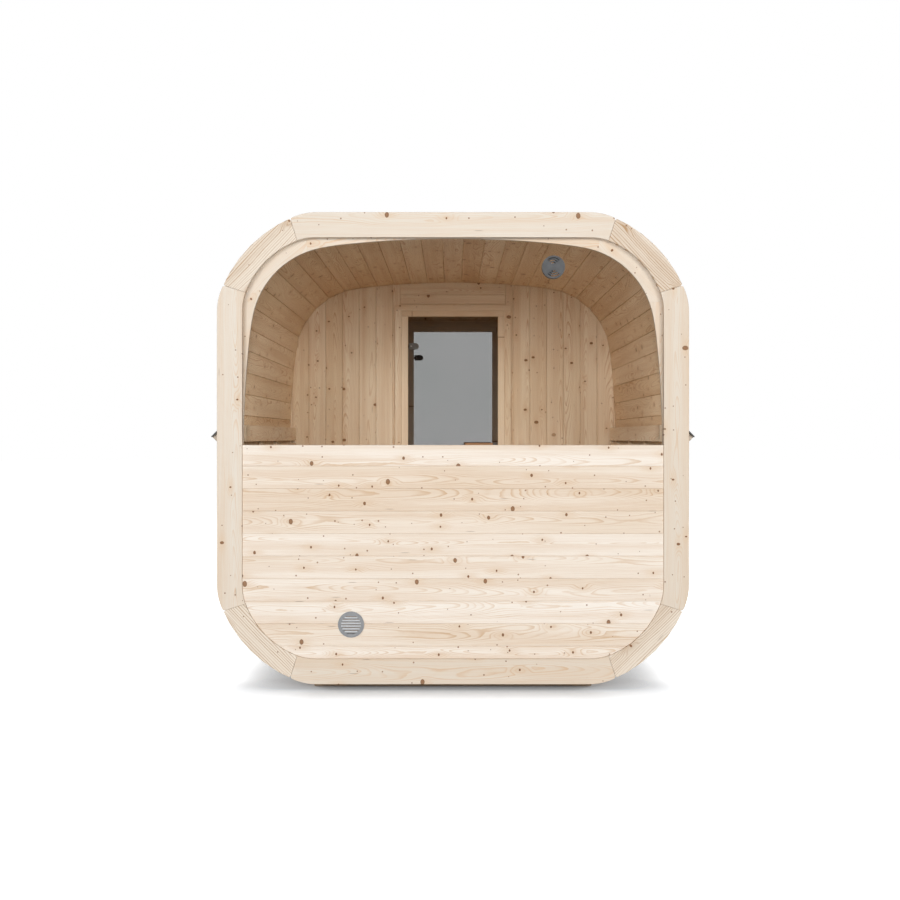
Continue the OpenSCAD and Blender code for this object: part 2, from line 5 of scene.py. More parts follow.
import bmesh
import bpy
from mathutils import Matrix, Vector


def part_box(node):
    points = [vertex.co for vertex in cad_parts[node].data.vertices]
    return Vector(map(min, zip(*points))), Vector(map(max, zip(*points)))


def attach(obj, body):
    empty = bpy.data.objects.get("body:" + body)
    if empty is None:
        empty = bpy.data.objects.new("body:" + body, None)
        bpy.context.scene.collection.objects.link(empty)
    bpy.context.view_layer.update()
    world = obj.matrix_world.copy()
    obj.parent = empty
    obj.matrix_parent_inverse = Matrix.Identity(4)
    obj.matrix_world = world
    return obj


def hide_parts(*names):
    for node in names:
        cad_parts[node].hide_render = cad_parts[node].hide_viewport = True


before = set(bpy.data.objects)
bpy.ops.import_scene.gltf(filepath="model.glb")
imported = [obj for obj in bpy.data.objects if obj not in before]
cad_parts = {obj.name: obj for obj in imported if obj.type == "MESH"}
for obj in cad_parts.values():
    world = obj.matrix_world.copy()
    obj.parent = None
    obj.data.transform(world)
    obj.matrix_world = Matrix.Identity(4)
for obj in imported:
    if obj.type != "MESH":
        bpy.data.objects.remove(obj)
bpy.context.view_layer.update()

X = Vector((1, 0, 0))
Y = Vector((0, 1, 0))
Z = Vector((0, 0, 1))
SEED = 11
ENDS = ("window_end", "door_end")
DOORS = ("partition_door", "entrance_door")
WALLS = ("partition", "door_end_wall")
SIDES = {"left": -1, "right": 1}

# Boards, in metres
BOARD_W = 0.110
SILL_BOARD_W = 0.103
OVER_DOOR_JOINTS = (2.108, 2.170)
FLOOR_BOARD_W = 0.120
BOARD_EDGE = 0.0020
TRIM_EDGE = 0.0015
FINE_EDGE = 0.0012
# Boards stand a little apart near both faces, and touch in between
SEAM_GAP = 0.0004
SEAM_DEPTH = 0.0035
ROOM_GAP = 0.0006
ROOM_DEPTH = 0.006
# The ring plates' boards are butted so tightly that their joints hardly show
RING_EDGE = 0.0003
RING_GAP = 0.0001
RING_TONE = 0.35
# The strip of board between a door's casing and the first joint beside it
CASING_STRIP_W = 0.015
# How far from the middle of its tree a corner board was cut
CORNER_PITH = 0.22
# How far a board's grain is shifted at random, and where its pith may lie
GRAIN_SHIFT = 60.0
PITH_ACROSS = 0.045
PITH_BEHIND = (0.035, 0.095)
# From the rear plate's end to the front plate's, at a hinge clamp
CLAMP_STEP = 0.0205
STAVE_NODES = ("right_wall_staves", "upper_right_corner_staves", "roof_staves",
               "upper_left_corner_staves", "left_wall_staves", "lower_left_corner_staves",
               "floor_staves", "lower_right_corner_staves")

rng = random.Random(SEED)
middle_z = sum(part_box("window_end_trim_boards"), Vector()).z / 2


# Shader nodes

class Shader:
    """The nodes of one material, or of the world."""

    def __init__(self, owner):
        self.owner = owner
        owner.use_nodes = True
        self.tree = owner.node_tree
        self.tree.nodes.clear()

    def feed(self, socket, value):
        """Sets an input, or links it where the value is another node's output."""
        if isinstance(value, bpy.types.NodeSocket):
            self.tree.links.new(value, socket)
        else:
            socket.default_value = value

    def add(self, kind, inputs=None, **settings):
        node = self.tree.nodes.new(kind)
        for key, value in settings.items():
            setattr(node, key, value)
        for key, value in (inputs or {}).items():
            self.feed(node.inputs[key], value)
        return node

    def math(self, operation, first, second=0.0):
        inputs = {0: first, 1: second}
        return self.add("ShaderNodeMath", inputs, operation=operation).outputs[0]

    def combine(self, x, y, z):
        return self.add("ShaderNodeCombineXYZ", {0: x, 1: y, 2: z}).outputs[0]

    def separate(self, vector):
        return self.add("ShaderNodeSeparateXYZ", {0: vector}).outputs

    def stretch(self, vector, scale):
        inputs = {0: vector, 1: scale}
        return self.add("ShaderNodeVectorMath", inputs, operation="MULTIPLY").outputs[0]

    def noise(self, vector, scale=1.0, detail=2.0):
        """A noise value from 0 to 1."""
        inputs = {"Vector": vector, "Scale": scale, "Detail": detail}
        return self.add("ShaderNodeTexNoise", inputs).outputs["Fac"]

    def smooth(self, value, low, high, to_low=0.0, to_high=1.0):
        """Turns low..high into to_low..to_high with soft ends."""
        inputs = {"Value": value, "From Min": low, "From Max": high,
                  "To Min": to_low, "To Max": to_high}
        return self.add("ShaderNodeMapRange", inputs, interpolation_type="SMOOTHSTEP").outputs[0]

    def mix(self, factor, first, second, blend="MIX"):
        node = self.add("ShaderNodeMix", data_type="RGBA", blend_type=blend)
        self.feed(node.inputs[0], factor)
        self.feed(node.inputs[6], first)
        self.feed(node.inputs[7], second)
        return node.outputs[2]

    def length(self, x, y):
        inputs = {0: self.combine(x, y, 0.0)}
        return self.add("ShaderNodeVectorMath", inputs, operation="LENGTH").outputs["Value"]

    def spots(self, along, across, cell, shift):
        """Scattered points, one to a cell of that size: the way along and across to the nearest,
        and two numbers of its own."""
        x = self.math("ADD", self.math("DIVIDE", along, cell[0]), shift)
        y = self.math("ADD", self.math("DIVIDE", across, cell[1]), shift)
        inputs = {"Vector": self.combine(x, y, 0.0), "Scale": 1.0}
        found = self.add("ShaderNodeTexVoronoi", inputs, voronoi_dimensions="2D").outputs
        spot_x, spot_y, _ = self.separate(found["Position"])
        dx = self.math("MULTIPLY", self.math("SUBTRACT", x, spot_x), cell[0])
        dy = self.math("MULTIPLY", self.math("SUBTRACT", y, spot_y), cell[1])
        chance, size, _ = self.separate(found["Color"])
        return dx, dy, chance, size

    def bump(self, height, depth, strength=1.0):
        inputs = {"Height": height, "Distance": depth, "Strength": strength}
        return self.add("ShaderNodeBump", inputs).outputs[0]

    def surface(self, shader):
        self.add("ShaderNodeOutputMaterial", {"Surface": shader})
        return self.owner

    def principled(self, **inputs):
        named = {key.replace("_", " "): value for key, value in inputs.items()}
        return self.surface(self.add("ShaderNodeBsdfPrincipled", named).outputs[0])


def material_shader(name):
    return Shader(bpy.data.materials.new(name))


def rgb(red, green, blue):
    return (red, green, blue, 1.0)


# Materials

# Sizes in the wood, in metres, and how much a ring's radius grows along the board
RING_W = 0.0029
TAPER = 0.010
WANDER_ACROSS = 0.085
WANDER_DEEP = 0.075
KNOT_CELL = (0.24, 0.12)
KNOT_R = 0.0040
KNOT_MORE_R = 0.0095
KNOT_RAGGED = 0.0035
KNOT_EDGE = 0.0012
RIM_W = 0.0020
HALO_W = (0.0035, 0.0005)
SWIRL_R = 0.030
PIN_CELL = (0.12, 0.060)
PIN_R = 0.0018
PIN_MORE_R = 0.0024
PIN_EDGE = (0.0010, -0.0006)
STREAK_CELL = (0.60, 0.11)
STREAK_HALF_W = (0.0017, 0.0006)
FACE_BLEND = 0.004
# Knots are wider than long, swirls and streaks longer than wide, by these shares of the length
KNOT_WIDE = 1.35
SWIRL_LONG = 0.36
STREAK_LONG = 0.055
# Rings that a swirl pushes aside, pin knots for each knot, and streaks for each cell
SWIRL_RINGS = 2.6
PIN_SHARE = 0.6
STREAKS = 0.30
# Each board, and each kind of mark, has its pattern shifted by a way of its own
OWN_SHIFT = 7.3
PIN_SHIFT = 3.1
STREAK_SHIFT = 5.7
# How strongly each pattern in the wood shows
FIBRE_SHADE = 0.60
PORE_SHADE = 0.10
BAND_SHADE = 0.30
PATCH_TONE = 0.30
OWN_TONE = 0.80
KNOT_BROWN = rgb(0.190, 0.078, 0.031)
RIM_BROWN = rgb(0.11, 0.048, 0.026)
HALO_BROWN = rgb(0.66, 0.36, 0.16)
PIN_BROWN = rgb(0.27, 0.115, 0.048)
PITCH_BROWN = rgb(0.20, 0.10, 0.055)


def knot_marks(s, grain, shift, knots):
    """How much of each mark is at a point: a knot's fill, rim and halo, the swirl of fibres round
    it, pin knots and pitch streaks."""
    along, across, _ = s.separate(grain)
    soft = 0.02

    # Knots, wider across the grain than along it
    dx, dy, chance, size = s.spots(along, across, KNOT_CELL, shift)
    there = s.smooth(chance, knots, knots - soft)
    ragged = s.math("MULTIPLY", s.math("SUBTRACT", s.noise(grain, 260.0), 0.5), KNOT_RAGGED)
    reach = s.math("ADD", s.length(s.math("MULTIPLY", dx, KNOT_WIDE), dy), ragged)
    knot_r = s.math("ADD", s.math("MULTIPLY", s.math("POWER", size, 3.0), KNOT_MORE_R), KNOT_R)
    off_edge = s.math("SUBTRACT", reach, knot_r)
    knot = s.math("MULTIPLY", s.smooth(off_edge, KNOT_EDGE, -KNOT_EDGE), there)
    rim = s.math("MULTIPLY", s.smooth(s.math("ABSOLUTE", off_edge), RIM_W, 0.0), there)
    halo = s.math("MULTIPLY", s.smooth(off_edge, *HALO_W), there)
    fill = s.math("MULTIPLY", knot, s.smooth(size, 0.3, 1.0, 0.95, 0.72))
    flow = s.length(s.math("MULTIPLY", dx, SWIRL_LONG), dy)
    swirl = s.math("MULTIPLY", s.smooth(flow, SWIRL_R, 0.0), there)

    # Pin knots, and pitch streaks along the grain
    dx, dy, chance, size = s.spots(along, across, PIN_CELL, s.math("ADD", shift, PIN_SHIFT))
    pin_r = s.math("ADD", s.math("MULTIPLY", size, PIN_MORE_R), PIN_R)
    pin = s.smooth(s.math("SUBTRACT", s.length(dx, dy), pin_r), *PIN_EDGE)
    pins = PIN_SHARE * knots
    pin = s.math("MULTIPLY", pin, s.smooth(chance, pins, pins - soft))
    dx, dy, chance, _ = s.spots(along, across, STREAK_CELL, s.math("ADD", shift, STREAK_SHIFT))
    streak = s.smooth(s.length(s.math("MULTIPLY", dx, STREAK_LONG), dy), *STREAK_HALF_W)
    streak = s.math("MULTIPLY", streak, s.smooth(chance, STREAKS, STREAKS - soft))
    return fill, rim, halo, swirl, pin, streak


def ring_lines(s, grain, board, swirl, ring_w):
    """The dark line that ends each growth ring, round a pith that wanders, and a slow change of
    tone along the board."""
    along, across, depth = s.separate(grain)
    pith_across, pith_depth, _ = s.separate(board)
    inputs = {"Vector": s.stretch(grain, (1.15, 5.0, 5.0)), "Scale": 1.0, "Detail": 1.5}
    waves = s.add("ShaderNodeTexNoise", inputs).outputs["Color"]
    wave_y, wave_z, wave_t = s.separate(waves)
    wander_y = s.math("MULTIPLY", s.math("SUBTRACT", wave_y, 0.5), WANDER_ACROSS)
    wander_z = s.math("MULTIPLY", s.math("SUBTRACT", wave_z, 0.5), WANDER_DEEP)
    radius = s.length(s.math("ADD", s.math("ADD", across, pith_across), wander_y),
                      s.math("ADD", s.math("ADD", depth, pith_depth), wander_z))
    radius = s.math("ADD", radius, s.math("MULTIPLY", along, TAPER))
    count = s.math("DIVIDE", radius, ring_w)
    count = s.math("ADD", count, s.math("MULTIPLY", swirl, SWIRL_RINGS))
    tremble = s.noise(s.stretch(grain, (14.0, 60.0, 60.0)))
    count = s.math("ADD", count, s.math("MULTIPLY", tremble, 0.5))
    part = s.math("FRACT", count)
    dark = s.math("MULTIPLY", s.smooth(part, 0.50, 0.92), s.smooth(part, 1.0, 0.94))
    ring_own = s.add("ShaderNodeTexWhiteNoise", {"W": s.math("FLOOR", count)},
                     noise_dimensions="1D").outputs["Value"]
    strength = s.math("ADD", s.math("MULTIPLY", ring_own, 0.7), 0.3)
    return s.math("MULTIPLY", dark, strength), wave_t


def wood(name, early, late, aged, rings=0.65, knots=0.80, roughness=0.56, ring_w=RING_W,
         room_bounce_tint=None):
    """Planed softwood. Points carry grain, their place along, across and into their board, and
    board, the pith's place across and behind the face, and a number of the board's own. A board
    that parts outside from inside has a second pair of colours on its inner half: a warmer tone
    that paints the warm light bounced round inside the rooms."""
    s = material_shader(name)
    grain = s.add("ShaderNodeAttribute", attribute_name="grain").outputs["Vector"]
    board = s.add("ShaderNodeAttribute", attribute_name="board").outputs["Vector"]
    own = s.separate(board)[2]
    # Warmer colours on the inner half: painted warm bounce light inside the rooms
    if room_bounce_tint:
        indoors_bounce = s.smooth(s.separate(grain)[2], -FACE_BLEND, FACE_BLEND)
        early = s.mix(indoors_bounce, early, room_bounce_tint[0])
        late = s.mix(indoors_bounce, late, room_bounce_tint[1])
    shift = s.math("MULTIPLY", own, OWN_SHIFT)
    fill, rim, halo, swirl, pin, streak = knot_marks(s, grain, shift, knots)
    dark, wave_t = ring_lines(s, grain, board, swirl, ring_w)

    # Fibres, slow bands along the board and the board's own tone
    fibre = s.noise(s.stretch(grain, (7.0, 420.0, 420.0)), 1.0, 3.0)
    pores = s.smooth(s.noise(s.stretch(grain, (24.0, 900.0, 900.0)), 1.0, 1.0), 0.60, 0.78)
    band = s.smooth(s.noise(s.stretch(grain, (0.5, 20.0, 20.0)), 1.0, 2.5), 0.40, 0.66)
    shade = s.math("ADD", s.math("MULTIPLY", dark, rings),
                   s.math("MULTIPLY", s.math("SUBTRACT", fibre, 0.5), FIBRE_SHADE))
    shade = s.math("ADD", shade, s.math("MULTIPLY", pores, PORE_SHADE))
    shade = s.math("ADD", shade, s.math("MULTIPLY", band, BAND_SHADE))
    colour = s.mix(s.math("MAXIMUM", shade, 0.0), early, late)
    patch = s.math("MULTIPLY", s.smooth(wave_t, 0.38, 0.72), PATCH_TONE)
    tone = s.math("ADD", s.math("MULTIPLY", s.math("POWER", own, 1.6), OWN_TONE), patch)
    colour = s.mix(tone, colour, aged, "MULTIPLY")
    for mark, share, brown in ((swirl, 0.42, late), (pin, 0.78, PIN_BROWN),
                               (streak, 0.60, PITCH_BROWN), (halo, 0.55, HALO_BROWN),
                               (fill, 1.0, KNOT_BROWN), (rim, 0.85, RIM_BROWN)):
        colour = s.mix(s.math("MULTIPLY", mark, share), colour, brown)
    height = s.math("SUBTRACT", s.math("ADD", s.math("MULTIPLY", dark, 0.6), fibre), pores)
    gloss = s.math("ADD", s.math("MULTIPLY", fibre, 0.12), roughness - 0.06)
    return s.principled(Base_Color=colour, Normal=s.bump(height, 0.0005, 0.30),
                        Specular_IOR_Level=0.22, Roughness=gloss)


def place(s):
    return s.add("ShaderNodeTexCoord").outputs["Object"]


# The width of one strip of roofing, and the granules to a metre
LAP_W = 0.90
GRANULES = 620.0


def roofing():
    """Roofing sheet with slate granules, laid in strips that lap."""
    s = material_shader("roofing_sheet")
    grains = s.add("ShaderNodeTexVoronoi", {"Vector": place(s), "Scale": GRANULES})
    speck, _, _ = s.separate(grains.outputs["Color"])
    worn = s.noise(place(s), 3.5, 4.0)
    colour = s.mix(speck, rgb(0.085, 0.086, 0.090), rgb(0.23, 0.23, 0.235))
    worn = s.math("MULTIPLY", s.smooth(worn, 0.42, 0.7), 0.35)
    colour = s.mix(worn, colour, rgb(0.17, 0.165, 0.155))
    _, y, _ = s.separate(place(s))
    lap = s.math("ABSOLUTE", s.math("SUBTRACT", s.math("FRACT", s.math("DIVIDE", y, LAP_W)), 0.5))
    line = s.smooth(lap, 0.006, 0.002)
    colour = s.mix(s.math("MULTIPLY", line, 0.7), colour, rgb(0.035, 0.035, 0.037))
    height = s.math("SUBTRACT", grains.outputs["Distance"], s.math("MULTIPLY", line, 3.0))
    return s.principled(Base_Color=colour, Roughness=0.93, Normal=s.bump(height, 0.0007, 0.6))


def glass(name, tint, smear, gloss=0.12):
    """Sheet glass that lets light through and mirrors a little, more so at a slant."""
    s = material_shader(name)
    film = s.noise(place(s), 2.2, 3.0)
    colour = s.mix(s.math("MULTIPLY", s.smooth(film, 0.4, 0.75), smear), tint,
                   rgb(tint[0] * 0.97, tint[1] * 0.985, tint[2] * 0.98))
    through = s.add("ShaderNodeBsdfTransparent", {"Color": colour}).outputs[0]
    mirror = s.add("ShaderNodeBsdfGlossy", {"Color": rgb(1, 1, 1), "Roughness": 0.015}).outputs[0]
    share = s.math("MULTIPLY", s.add("ShaderNodeFresnel", {"IOR": 1.45}).outputs[0], gloss)
    return s.surface(s.add("ShaderNodeMixShader", {0: share, 1: through, 2: mirror}).outputs[0])


def painted(name, colour, worn_colour, roughness, metallic=0.0, grain_scale=900.0):
    """Paint, plastic or satin metal: slow mottling, and a fine grain in the gloss."""
    s = material_shader(name)
    mottle = s.smooth(s.noise(place(s), 38.0, 4.0), 0.35, 0.7)
    fine = s.noise(place(s), grain_scale, 2.0)
    shade = s.math("ADD", s.math("MULTIPLY", mottle, 0.6), s.math("MULTIPLY", fine, 0.4))
    return s.principled(
        Base_Color=s.mix(shade, colour, worn_colour), Metallic=metallic,
        Normal=s.bump(fine, 0.0002, 0.4),
        Roughness=s.math("ADD", s.math("MULTIPLY", fine, 0.14), roughness - 0.07))


PALE = rgb(0.950, 0.876, 0.792)
PALE_RING = rgb(0.72, 0.52, 0.345)
PALE_AGED = rgb(0.87, 0.80, 0.715)
TRIM_PALE = rgb(0.800, 0.724, 0.628)
TRIM_AGED = rgb(0.955, 0.925, 0.890)
spruce = wood("spruce_board", PALE, PALE_RING, PALE_AGED)
trim_spruce = wood("trim_board", TRIM_PALE, PALE_RING, TRIM_AGED, rings=0.70, knots=0.60)
corner_spruce = wood("corner_board", rgb(0.838, 0.745, 0.632), rgb(0.47, 0.285, 0.145), TRIM_AGED,
                     rings=0.90, knots=0.60, ring_w=0.0105)
ring_spruce = wood("ring_board", TRIM_PALE, PALE_RING, PALE_AGED, rings=0.75, knots=0.85)
# Warmer copies of the spruce for inside the rooms: painted warm light bounced round in them
ROOM_BOUNCE_TINT = rgb(0.945, 0.768, 0.555)
ROOM_BOUNCE_RING = rgb(0.66, 0.41, 0.22)
room_bounce_spruce = wood("room_board_bounce_tint", rgb(0.915, 0.774, 0.594), rgb(0.68, 0.45, 0.27), PALE_AGED,
                   rings=0.85, knots=0.80)
stave_spruce = wood("stave_board", PALE, PALE_RING, PALE_AGED, rings=0.80, knots=0.85,
                    room_bounce_tint=(ROOM_BOUNCE_TINT, ROOM_BOUNCE_RING))
inner_wood = wood("handle_wood", rgb(0.52, 0.31, 0.18), rgb(0.36, 0.19, 0.10),
                  rgb(0.88, 0.80, 0.72), knots=0.05)
beam_wood = wood("beam_board", rgb(0.46, 0.31, 0.185), rgb(0.31, 0.195, 0.115),
                 rgb(0.84, 0.80, 0.76), knots=0.3, roughness=0.74)
roof_sheet = roofing()
clear_glass = glass("clear_sheet", rgb(0.991, 0.993, 0.991), 0.5)
grey_glass = glass("grey_sheet", rgb(0.746, 0.745, 0.746), 0.5)
vent_plastic = painted("vent_plastic", rgb(0.100, 0.101, 0.103), rgb(0.135, 0.137, 0.140), 0.50)
# The dial is near black: painted shade in the vent's slots behind the cover
dial_plastic_painted_shade = painted("dial_plastic_painted_shade", rgb(0.022, 0.022, 0.023), rgb(0.034, 0.034, 0.035), 0.55)
grille_paint = painted("grille_paint", rgb(0.27, 0.275, 0.285), rgb(0.33, 0.335, 0.345), 0.44)
# Much lighter than the grille's paint: a painted highlight on the rounded blades
blade_paint_highlight = painted("blade_paint_highlight", rgb(0.60, 0.61, 0.62), rgb(0.52, 0.53, 0.54), 0.40)
hinge_steel = painted("hinge_steel", rgb(0.15, 0.147, 0.143), rgb(0.20, 0.196, 0.191), 0.45, 0.30)
bright_steel = painted("bright_steel", rgb(0.78, 0.78, 0.77), rgb(0.62, 0.62, 0.61), 0.30, 1.0)


# Timber

class Timber:
    """A piece made of boards. Each board is a closed solid with a grain of its own, cut at a
    distance pith from the middle of its tree. Boards have tones of their own, or all the one given."""

    def __init__(self, pith=0.0, tone=None):
        self.pith = pith
        self.tone = tone
        self.points = []
        self.faces = []
        self.grain = []
        self.board = []

    def add(self, points, faces, along, normal):
        """A board from its corners and faces, its grain direction and its main face's normal."""
        centre = sum(points, Vector()) / len(points)
        across = normal.cross(along)
        start = rng.uniform(0.0, GRAIN_SHIFT)
        tone = rng.random() if self.tone is None else self.tone
        pith_across = self.pith + rng.uniform(-PITH_ACROSS, PITH_ACROSS)
        own = (pith_across, rng.uniform(*PITH_BEHIND), tone)
        first = len(self.points)
        for point in points:
            away = point - centre
            self.grain.extend((away.dot(along) + start, away.dot(across), away.dot(normal)))
            self.board.extend(own)
        self.points.extend(points)
        self.faces.extend([first + i for i in face] for face in faces)

    def loft(self, levels, along, normal=Y):
        """A board through a row of sections, each a y and as many (x, z) points as the others."""
        n = len(levels[0][1])
        points = [Vector((x, y, z)) for y, section in levels for x, z in section]
        last = len(points) - n
        faces = [tuple(range(n)), tuple(range(len(points) - 1, last - 1, -1))]
        for first in range(0, last, n):
            faces.extend((first + i, first + (i + 1) % n, first + (i + 1) % n + n, first + i + n)
                         for i in range(n))
        self.add(points, faces, along, normal)

    def prism(self, section, y0, y1, along, normal=Y):
        """A board whose section of (x, z) points runs along Y."""
        self.loft([(y0, section), (y1, section)], along, normal)

    def plank(self, section, seams, y0, y1, along, edge=BOARD_EDGE, gap=SEAM_GAP, depth=SEAM_DEPTH,
              normal=Y):
        """A board that faces along Y, with chamfered edges. Its sides in seams stand back by gap
        from the next board, down to a depth on both faces."""
        rim = inset(section, [edge + gap if seam else edge for seam in seams])
        body = inset(section, [gap if seam else 0.0 for seam in seams])
        depth = min(depth, 0.4 * (y1 - y0))
        self.loft([(y0, rim), (y0 + edge, body), (y0 + depth, body), (y0 + depth, section),
                   (y1 - depth, section), (y1 - depth, body), (y1 - edge, body), (y1, rim)],
                  along, normal)

    def make(self, name, material, nodes, edge=0.0, body="cabin"):
        """The finished piece, in the place of the CAD nodes that it stands for, with edges rounded
        by a bevel where edge is given."""
        mesh = solid_mesh(name, self.points, self.faces, grain=self.grain, board=self.board)
        return finish_piece(mesh, name, material, nodes, edge, body)


def solid_mesh(name, points, faces, **vectors):
    """A mesh with its faces outwards, and with three numbers for each point under each name."""
    nothing = 1e-6
    mesh = bpy.data.meshes.new(name)
    mesh.from_pydata(points, [], faces)
    for key, values in vectors.items():
        mesh.attributes.new(key, "FLOAT_VECTOR", "POINT").data.foreach_set("vector", values)
    shell = bmesh.new()
    shell.from_mesh(mesh)
    bmesh.ops.dissolve_degenerate(shell, dist=nothing, edges=shell.edges)
    bmesh.ops.recalc_face_normals(shell, faces=shell.faces)
    shell.to_mesh(mesh)
    shell.free()
    return mesh


def finish_piece(mesh, name, material, nodes, edge=0.0, body="cabin"):
    mesh.materials.append(material)
    piece = bpy.data.objects.new(name, mesh)
    bpy.context.scene.collection.objects.link(piece)
    if edge > 0:
        mesh.polygons.foreach_set("use_smooth", [True] * len(mesh.polygons))
        bevel = piece.modifiers.new("edges", "BEVEL")
        bevel.width = edge
        bevel.segments = 2
        bevel.limit_method = "ANGLE"
        bevel.angle_limit = math.radians(30)
        bevel.harden_normals = True
    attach(piece, body)
    if nodes:
        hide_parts(*nodes)
    return piece


def node_points(node):
    return [v.co.copy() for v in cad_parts[node].data.vertices]


def end_points(node, side):
    """The (x, z) corners of a node's flat end, at its lowest y for side 0 or highest for side 1."""
    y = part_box(node)[side].y
    near = 1e-5
    found = {(round(p.x, 5), round(p.z, 5)) for p in node_points(node) if abs(p.y - y) < near}
    return sorted(found)


def by_angle(points, centre, start=0.0):
    """The points in turn round a centre, counted from the angle start."""
    full = 2 * math.pi

    def turned(p):
        return (math.atan2(p[1] - centre[1], p[0] - centre[0]) - start) % full

    return sorted(points, key=turned)


def flat_outline(points):
    """A convex outline from its corners."""
    centre = (sum(p[0] for p in points) / len(points), sum(p[1] for p in points) / len(points))
    return by_angle(points, centre)


def clip(section, axis, limit, keep):
    """The part of a convex section with x (axis 0) or z (axis 1) above (keep 1) or below (-1) a limit."""
    kept = []
    for i, p in enumerate(section):
        q = section[(i + 1) % len(section)]
        off_p = keep * (p[axis] - limit)
        off_q = keep * (q[axis] - limit)
        if off_p >= 0:
            kept.append(p)
        if off_p * off_q < 0:
            t = off_p / (off_p - off_q)
            kept.append((p[0] + t * (q[0] - p[0]), p[1] + t * (q[1] - p[1])))
    return kept


def strips(section, axis, joints):
    """A convex section cut into strips at its joints."""
    low = min(p[axis] for p in section)
    high = max(p[axis] for p in section)
    least = 0.002
    lines = [low - 1, *sorted(j for j in joints if low + least < j < high - least), high + 1]
    found = [clip(clip(section, axis, a, 1), axis, b, -1) for a, b in zip(lines, lines[1:])]
    return [part for part in found if len(part) > 2]


def seams_of(section, axis, joints):
    """For each side of a section, whether it lies on a joint."""
    near = 1e-6
    found = []
    for i, p in enumerate(section):
        q = section[(i + 1) % len(section)]
        found.append(any(abs(p[axis] - j) < near and abs(q[axis] - j) < near for j in joints))
    return found


def inward(p, q):
    """Unit vector into a counterclockwise section from its side between two corners."""
    length = math.dist(p, q)
    return (p[1] - q[1]) / length, (q[0] - p[0]) / length


def inset(section, distances):
    """A counterclockwise section with side i moved inwards by distances[i]."""
    moved = []
    straight = 0.02
    for i, p in enumerate(section):
        n0 = inward(section[i - 1], p)
        n1 = inward(p, section[(i + 1) % len(section)])
        d0 = distances[i - 1]
        d1 = distances[i]
        turn = n0[0] * n1[1] - n0[1] * n1[0]
        if abs(turn) < straight:
            moved.append((p[0] + n1[0] * d1, p[1] + n1[1] * d1))
        else:
            moved.append((p[0] + (d0 * n1[1] - d1 * n0[1]) / turn,
                          p[1] + (d1 * n0[0] - d0 * n1[0]) / turn))
    return moved


def stave_joints(node):
    """The joints in a row of staves, in turn round the middle: outer corner, bottom of the inner
    groove, and the groove's lips before and after the joint."""
    middle = (0.0, middle_z)
    points = end_points(node, 0)
    centre = [sum(p[i] for p in points) / len(points) - middle[i] for i in range(2)]
    opposite = math.atan2(centre[1], centre[0]) - math.pi
    apart = math.radians(1.5)
    groups = []
    last_angle = -1.0
    for p in by_angle(points, middle, opposite):
        angle = (math.atan2(p[1] - middle[1], p[0] - middle[0]) - opposite) % (2 * math.pi)
        if angle - last_angle > apart:
            groups.append([])
        groups[-1].append(Vector(p))
        last_angle = angle
    joints = []
    for group in groups:
        outer, bottom = sorted(group, key=lambda p: math.dist(p, middle))[:-3:-1]
        lips = [p for p in group if p is not outer and p is not bottom]
        joints.append((outer, bottom, lips[0], lips[-1]))
    return joints


def stave_side(lip, bottom, outer, into):
    """One side of a stave's section, from the inner face to the outer one."""
    depth = (outer - bottom).length
    down = (outer - bottom) / depth
    shape = ((0.0, ROOM_GAP), (ROOM_DEPTH, ROOM_GAP), (ROOM_DEPTH, 0.0), (depth - SEAM_DEPTH, 0.0),
             (depth - SEAM_DEPTH, SEAM_GAP), (depth - BOARD_EDGE, SEAM_GAP),
             (depth, SEAM_GAP + BOARD_EDGE))
    return [lip, *(bottom + down * d + into * gap for d, gap in shape)]


def make_staves():
    """The boards of the body's sides and corners, grooved at each joint inside."""
    for node in STAVE_NODES:
        low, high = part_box(node)
        boards = Timber()
        joints = stave_joints(node)
        for (outer_a, bottom_a, _, lip_a), (outer_b, bottom_b, lip_b, _) in zip(joints, joints[1:]):
            flat = (lip_b - lip_a).normalized()
            section = stave_side(lip_a, bottom_a, outer_a, flat)
            section += reversed(stave_side(lip_b, bottom_b, outer_b, -flat))
            face = Vector((flat.x, 0, flat.y)).cross(Y)
            boards.prism(section, low.y, high.y, Y, face)
        boards.make(f"{node}_boards", stave_spruce, [node])


def notched(section, centre, radius, joint, side):
    """A board with its share of a round hole that is centred near its straight edge at z = joint."""
    steps = 20
    rise = joint - centre[1]
    reach = math.asin(rise / radius)
    start = reach if side > 0 else math.pi - reach
    turn = math.pi - 2 * side * reach
    arc = []
    for i in reversed(range(steps + 1)):
        angle = start + turn * i / steps
        arc.append((centre[0] + radius * math.cos(angle), centre[1] + radius * math.sin(angle)))
    turned = flat_outline(section)
    near = 1e-4
    for i, p in enumerate(turned):
        q = turned[(i + 1) % len(turned)]
        if abs(p[1] - joint) < near and abs(q[1] - joint) < near:
            forward = (q[0] - p[0]) * (arc[-1][0] - arc[0][0]) > 0
            return turned[:i + 1] + (arc if forward else arc[::-1]) + turned[i + 1:]
    return turned


